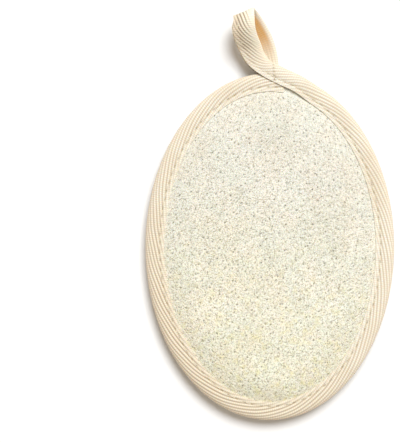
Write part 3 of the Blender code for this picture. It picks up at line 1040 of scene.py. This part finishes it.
# %% Tack the loop's end
TACK_AT = TAPE_LENGTH - 0.0066
TACK_STITCHES = 5
TACK_HALF_WIDTH = 0.0042
TACK_GAP = 0.06  # of a stitch, at both its ends


def tack_paths():
    low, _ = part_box("loop_tack_thread")
    across = np.linspace(-TACK_HALF_WIDTH, TACK_HALF_WIDTH, TACK_STITCHES + 1)
    middle = np.array([np.interp(TACK_AT, tape_along, column) for column in tape_middle.T])
    paths = []
    for left, right in zip(across[:-1], across[1:]):
        gap = TACK_GAP * (right - left)
        x = middle[0] + left + gap + (right - left - 2 * gap) * ALONG_STITCH
        z = low.z + THREAD_RADIUS + SUNK_ENDS
        paths.append(np.column_stack((x, np.full(STITCH_RINGS, middle[1]), z)))
    return np.array(paths)


sew("loop_tack", tack_paths(), "loop_tack_thread")

# %% [markdown]
# ## The terry back
#
# The terry is a soft sheet held only at its edge, with foam behind it. A coarse grid of it is
# pinned where the tape holds it and blown out by a little pressure as cloth, which gives the
# shallow puckers by the seam that no formula has. How far a point may move is capped, so the
# sheet stays where the pad lies. Then it is subdivided, its pile is raised in rows, it is
# puffed up against the tape's edge, and it gets its thickness.

# %% Stretch the terry
TERRY_CELLS = (40, 56)
TERRY_CLOTH_THICKNESS = 0.0013
HELD_WIDTH = RING_WIDTH + 0.0005
MOST_MOVE = 0.0009
PILE_PITCH = (0.0017, 0.0021)
PILE_HEIGHT = 0.00022
PILE_STRAY = 160.0  # scale of the noise that puts the loops out of line
PUFF_HEIGHT, PUFF_REACH = 0.0013, 0.003
PUFF_START = (-0.0018, -0.0005)  # under the tape
BESIDE_BAND = (0.001, 0.005)  # from the elastic's edge
LAP_PUFF, LAP_SHIFT = 0.0008, 0.0026  # more of it where the tape leaves the edge
SETTLE_FRAMES = 14
CLOTH_SETTINGS = {
    "vertex_group_mass": "held",
    "quality": 6,
    "mass": 0.02,
    "tension_stiffness": 12,
    "bending_stiffness": 0.2,
    "use_pressure": True,
    "uniform_pressure_force": -0.6,
    "shrink_min": -0.03,
}


def blow_out(obj, held):
    """Runs the cloth for a few frames and returns where its points went."""
    group = obj.vertex_groups.new(name="held")
    group.add([int(i) for i in np.flatnonzero(held)], 1.0, "REPLACE")
    cloth = obj.modifiers.new("cloth", "CLOTH")
    for setting, value in CLOTH_SETTINGS.items():
        setattr(cloth.settings, setting, value)
    cloth.settings.effector_weights.gravity = 0
    for frame_number in range(1, SETTLE_FRAMES + 1):
        bpy.context.scene.frame_set(frame_number)
    settled = points_of(obj.evaluated_get(bpy.context.evaluated_depsgraph_get()))
    obj.modifiers.remove(cloth)
    bpy.context.scene.frame_set(1)
    return settled


def build_terry():
    terry = unit_grid("terry_cloth", *TERRY_CELLS)
    x, y = wrap_to_oval(terry, LAYER_INSET)
    distance = rim_distance(x, y)
    rest = np.column_stack((x, y, terry_height(distance)))
    move_points(terry, rest)
    moved = blow_out(terry, distance < HELD_WIDTH) - rest
    size = np.linalg.norm(moved, axis=1, keepdims=True)
    capped = moved * np.minimum(1, MOST_MOVE / np.maximum(size, TINY))
    rest[:, :2] += capped[:, :2]
    rest[:, 2] = np.maximum(rest[:, 2] + capped[:, 2], TERRY_MIDDLE_UNDER - 0.0001)
    move_points(terry, rest)
    print("the cloth moved at most, mm:", round(1000 * float(size.max()), 2))
    return terry


def raise_pile(obj):
    """Small loops in rows, each a little out of line, as relief downwards."""
    points = points_of(obj)
    x, y, _ = points.T
    fade = np.clip((rim_distance(x, y) - RING_WIDTH) / 0.003, 0.15, 1)
    shift = np.array([noise.noise(Vector((a, b, 3.0)) * PILE_STRAY) for a, b in zip(x, y)])
    rows = np.sin(2 * math.pi * (x / PILE_PITCH[0] + shift))
    loops = np.sin(2 * math.pi * (y / PILE_PITCH[1] + 1.3 * shift))
    points[:, 2] += fade * PILE_HEIGHT * rows * loops
    move_points(obj, points)


def puff_up(obj):
    """Fills the gap at the tape's edge, except where the elastic lies over the terry."""
    points = points_of(obj)
    x, y, _ = points.T
    angle = np.arctan2(y / HALF_LENGTH, x / HALF_WIDTH)
    at_lap = ramp(angle, TAPE_LEAVES - 2 * math.pi, TAPE_START - 0.03)
    at_lap = at_lap * (1 - ramp(angle, TAPE_START - 0.004, TAPE_START + 0.016))
    beyond = rim_distance(x, y) - RING_WIDTH + LAP_SHIFT * at_lap
    at_edge = ramp(beyond, *PUFF_START) * bell(np.maximum(beyond, 0), PUFF_REACH)
    beside_band = ramp(np.abs(y) - BAND_WIDTH / 2, *BESIDE_BAND)
    points[:, 2] -= (PUFF_HEIGHT + LAP_PUFF * at_lap) * at_edge * beside_band
    move_points(obj, points)


terry_cloth = build_terry()
apply_modifier(terry_cloth, "SUBSURF", levels=2, render_levels=2)
raise_pile(terry_cloth)
puff_up(terry_cloth)
face_down(terry_cloth)
apply_modifier(terry_cloth, "SOLIDIFY", thickness=TERRY_CLOTH_THICKNESS, offset=-1)
shade(terry_cloth, CLOTH_EDGES)

# %% The terry's finish
PILE_ROW_WAVES = 250.0  # rows of loops about 1.25 mm apart
TERRY_DEEP, TERRY_LIGHT = (0.74, 0.70, 0.575), (0.79, 0.75, 0.625)
TERRY_CURL, TERRY_SHADE = (0.83, 0.80, 0.68), (0.52, 0.45, 0.31)


def terry_finish():
    made, place = new_finish("cream_terry", roughness=0.95, glow=0.15)
    slow = clouds(made, place, 45.0)
    fine = clouds(made, place, 900.0)
    warm = mix(made, slow, TERRY_DEEP, TERRY_LIGHT)
    looped = mix(made, fine, warm, TERRY_CURL)
    wave = {"Vector": place, "Scale": PILE_ROW_WAVES, "Distortion": 3.0, "Detail": 2.0}
    rows = add_node(made, "TexWave", wave, bands_direction="Y").outputs["Fac"]
    curls = add_node(made, "TexVoronoi", {"Vector": place, "Scale": 1100.0})
    pile = add_node(made, "Math", {0: rows, 1: curls.outputs["Distance"]}).outputs[0]
    between_rows = mix(made, 0.2, looped, TERRY_SHADE)
    colour = mix(made, rows, between_rows, looped)
    colour_and_bump(made, colour, pile, strength=0.6, distance=0.00025)
    return made


hand_over(terry_cloth, terry_finish(), "terry", "terry_back")

# %% [markdown]
# ## The elastic
#
# The hand band is woven elastic: cords of rubber, wrapped in yarn, run along it as even ribs.
# It is a grid laid under the terry and up into the edge at both ends, with a rib for each cord
# and a flat selvage at both sides.

# %% Weave the elastic
BAND_CELLS = (120, 136)
BAND_RIBS = 17
BAND_RIB_HEIGHT = 0.00026
SELVAGE = 0.0014
BAND_END_INSET = RING_GAPE + TAPE_THICKNESS + GAP
BAND_CLOTH = 0.8 * BAND_THICKNESS  # the ribs take up the rest


def build_band():
    band = unit_grid("ribbed_elastic", *BAND_CELLS)
    u, v, _ = points_of(band).T
    y = v * BAND_WIDTH / 2
    x = u * (HALF_WIDTH * np.sqrt(1 - (y / HALF_LENGTH) ** 2) - BAND_END_INSET)
    inner = BAND_WIDTH - 2 * SELVAGE
    in_ribs = np.abs(y) < inner / 2
    wave = np.abs(np.sin(math.pi * BAND_RIBS * (y + inner / 2) / inner))
    crest = np.where(in_ribs, wave**0.6, 0.75)
    under = terry_height(rim_distance(x, y)) - GAP - BAND_THICKNESS
    move_points(band, np.column_stack((x, y, under + BAND_RIB_HEIGHT * (1 - crest))))
    # painted shade in the grooves between the cords
    store(band, "groove_shade", 1 - crest)
    return band


ribbed_elastic = build_band()
face_down(ribbed_elastic)
apply_modifier(ribbed_elastic, "SOLIDIFY", thickness=BAND_CLOTH, offset=-1)
shade(ribbed_elastic, CLOTH_EDGES)

# %% The elastic's finish
ELASTIC_DEEP, ELASTIC_LIGHT = (0.70, 0.66, 0.53), (0.76, 0.72, 0.585)
# painted shade in the elastic's grooves
ELASTIC_GROOVE_SHADE = (0.58, 0.52, 0.36)


def elastic_finish():
    made, place = new_finish("ribbed_elastic", roughness=0.8, glow=0.08)
    slow = clouds(made, place, 60.0)
    cream = mix(made, slow, ELASTIC_DEEP, ELASTIC_LIGHT)
    colour = mix(made, attribute(made, "groove_shade"), cream, ELASTIC_GROOVE_SHADE)
    on_cloth = add_node(made, "TexCoord").outputs["UV"]
    size = (2000 * HALF_WIDTH, 1000 * BAND_WIDTH, 1)
    sized = add_node(made, "Mapping", {"Vector": on_cloth, "Scale": size}).outputs["Vector"]
    wave = {"Vector": sized, "Scale": YARN_WAVES, "Distortion": 1.2, "Detail": 1.0}
    yarns = add_node(made, "TexWave", wave).outputs["Fac"]
    colour_and_bump(made, colour, yarns, strength=0.4, distance=0.0002)
    return made


hand_over(ribbed_elastic, elastic_finish(), "elastic", "elastic_hand_band")

# %% [markdown]
# ## The foam
#
# The foam is sealed between the two faces and never shows. Its solid is right as it is, so it
# only gets a foam's look, with open cells as a fine bump.

# %% The foam's finish
FOAM_DEEP, FOAM_LIGHT = (0.80, 0.77, 0.66), (0.88, 0.86, 0.78)


def foam_finish():
    made, place = new_finish("open_foam", roughness=0.9)
    cells = add_node(made, "TexVoronoi", {"Vector": place, "Scale": 900.0})
    share = clouds(made, place, 120.0)
    colour = mix(made, share, FOAM_DEEP, FOAM_LIGHT)
    colour_and_bump(made, colour, cells.outputs["Distance"], strength=0.6, distance=0.0004)
    return made


foam_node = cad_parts["foam_padding"]
foam_node.data.materials.clear()
foam_node.data.materials.append(foam_finish())
